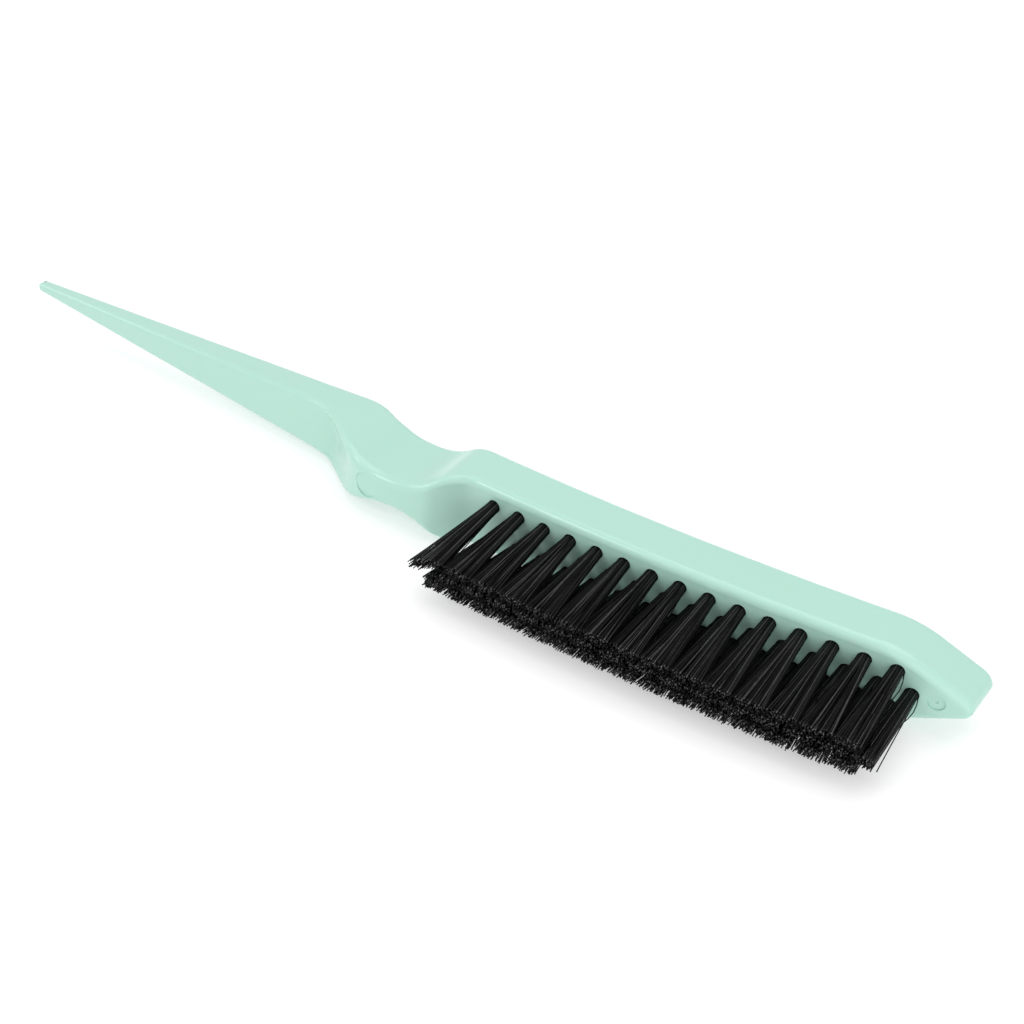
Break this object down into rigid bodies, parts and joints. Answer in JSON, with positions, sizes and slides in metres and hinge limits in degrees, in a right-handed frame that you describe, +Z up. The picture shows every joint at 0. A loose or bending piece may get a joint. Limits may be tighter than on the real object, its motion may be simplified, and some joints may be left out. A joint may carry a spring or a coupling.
{
  "type": "teasing brush",
  "caption": "Slim back-combing hair brush with a pointed sectioning tail, a waisted neck and a curved head of separate bristle tufts in rows.",
  "frame": {"origin": "middle of the bottom of the whole brush's bounding box, as it lies on one side of its head", "axes": "+X along the brush from the tail's tip to the head's tip, -Y the way the bristles point, +Z up, across the brush"},
  "size_m": [0.2236, 0.0384, 0.0148],
  "materials": {
    "handle_plastic": "mint-green moulded polypropylene, soft gloss",
    "bristle_nylon": "black nylon filament with a thin sheen",
    "anchor_wire": "bright flat anchor wire, hidden in its hole"
  },
  "bodies": {
    "root": {"handle": "handle_plastic", "tuft_a_01": "bristle_nylon", "tuft_a_02": "bristle_nylon", "tuft_a_03": "bristle_nylon", "tuft_a_04": "bristle_nylon", "tuft_a_05": "bristle_nylon", "tuft_a_06": "bristle_nylon", "tuft_a_07": "bristle_nylon", "tuft_a_08": "bristle_nylon", "tuft_a_09": "bristle_nylon", "tuft_a_10": "bristle_nylon", "tuft_a_11": "bristle_nylon", "tuft_a_12": "bristle_nylon", "tuft_a_13": "bristle_nylon", "tuft_a_14": "bristle_nylon", "tuft_a_15": "bristle_nylon", "tuft_b_01": "bristle_nylon", "tuft_b_02": "bristle_nylon", "tuft_b_03": "bristle_nylon", "tuft_b_04": "bristle_nylon", "tuft_b_05": "bristle_nylon", "tuft_b_06": "bristle_nylon", "tuft_b_07": "bristle_nylon", "tuft_b_08": "bristle_nylon", "tuft_b_09": "bristle_nylon", "tuft_b_10": "bristle_nylon", "tuft_b_11": "bristle_nylon", "tuft_b_12": "bristle_nylon", "tuft_b_13": "bristle_nylon", "tuft_b_14": "bristle_nylon", "tuft_b_15": "bristle_nylon", "tuft_c_01": "bristle_nylon", "tuft_c_02": "bristle_nylon", "tuft_c_03": "bristle_nylon", "tuft_c_04": "bristle_nylon", "tuft_c_05": "bristle_nylon", "tuft_c_06": "bristle_nylon", "tuft_c_07": "bristle_nylon", "tuft_c_08": "bristle_nylon", "tuft_c_09": "bristle_nylon", "tuft_c_10": "bristle_nylon", "tuft_c_11": "bristle_nylon", "tuft_c_12": "bristle_nylon", "tuft_c_13": "bristle_nylon", "tuft_c_14": "bristle_nylon", "tuft_c_15": "bristle_nylon", "anchors_a": "anchor_wire", "anchors_b": "anchor_wire", "anchors_c": "anchor_wire"}
  },
  "joints": []
}
